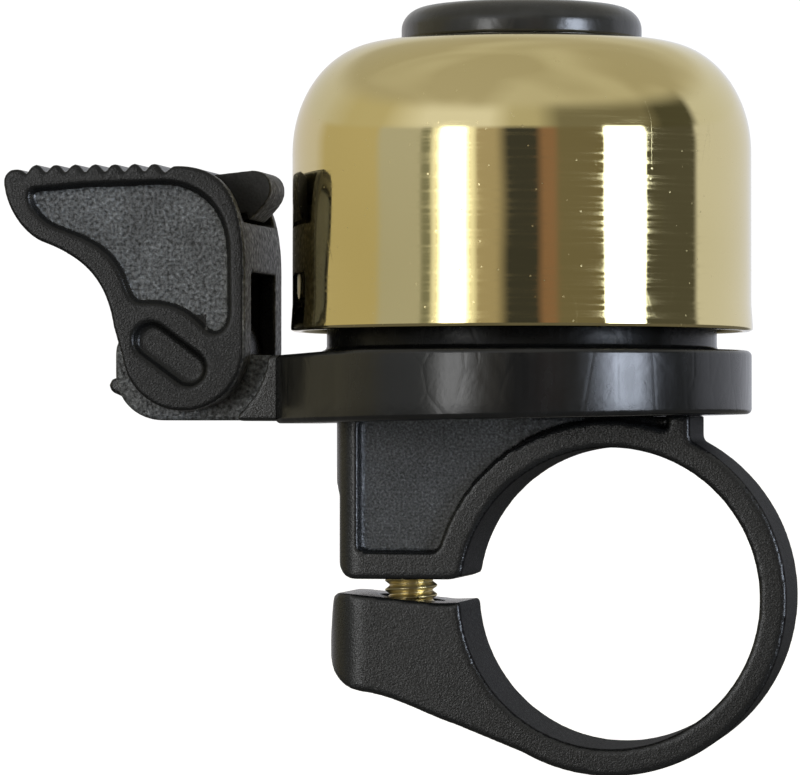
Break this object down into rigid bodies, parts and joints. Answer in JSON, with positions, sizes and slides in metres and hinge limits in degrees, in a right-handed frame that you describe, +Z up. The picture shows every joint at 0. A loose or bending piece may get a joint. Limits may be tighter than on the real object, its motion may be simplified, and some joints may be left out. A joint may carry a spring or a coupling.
{
  "type": "bicycle bell",
  "caption": "Brass bicycle bell with a black thumb lever, hammer, round base and one-screw handlebar clamp.",
  "frame": {"origin": "centre of the clamp bore, on the handlebar axis, midway across the band", "axes": "+X away from the thumb lever, +Y along the handlebar axis, +Z up through the bell"},
  "size_m": [0.0585, 0.0346, 0.0573],
  "materials": {
    "black_plastic": "spark-textured moulding, satin",
    "cap_plastic": "semi-gloss moulding",
    "brass": "polished and lacquered",
    "steel": "plain bright steel",
    "yellow_zinc": "yellow zinc plated steel",
    "rubber": "matte"
  },
  "bodies": {
    "base": {"base_body": "black_plastic", "dome": "brass", "dome_seat_washer": "rubber", "dome_washer": "steel", "dome_screw": "steel", "top_cap": "cap_plastic", "pivot_pin": "steel", "return_spring": "steel", "clamp_nut": "yellow_zinc"},
    "lever": {"thumb_lever": "black_plastic", "leaf_rivet": "steel"},
    "hammer": {"hammer_head": "black_plastic", "hammer_leaf": "steel"},
    "band": {"clamp_band": "black_plastic", "clamp_washer": "yellow_zinc"},
    "screw": {"clamp_screw": "yellow_zinc"}
  },
  "joints": [
    {"name": "lever_press", "type": "hinge", "parent": "base", "child": "lever", "pos_m": [-0.03165, 0, 0.0185], "axis": [0, -1, 0], "range_deg": [0, 28], "stiffness_Nm_per_rad": 0.02, "springref_deg": -11.46, "deforming": ["return_spring"]},
    {"name": "hammer_swing", "type": "hinge", "parent": "lever", "child": "hammer", "pos_m": [-0.0295, 0, 0.0246], "axis": [0, 1, 0], "range_deg": [0, 12], "stiffness_Nm_per_rad": 0.01, "deforming": ["hammer_leaf"]},
    {"name": "screw_turn", "type": "hinge", "parent": "band", "child": "screw", "pos_m": [-0.0156, 0, -0.005], "axis": [0, 0, 1], "range_deg": [-540, 360]},
    {"name": "band_flex", "type": "hinge", "parent": "base", "child": "band", "pos_m": [0.009, 0, 0.0081], "axis": [0, 1, 0], "range_deg": [-2.4, 1.6]}
  ],
  "couplings": [
    {"joint": "screw_turn", "follows": "band_flex", "ratio": 220.8}
  ]
}
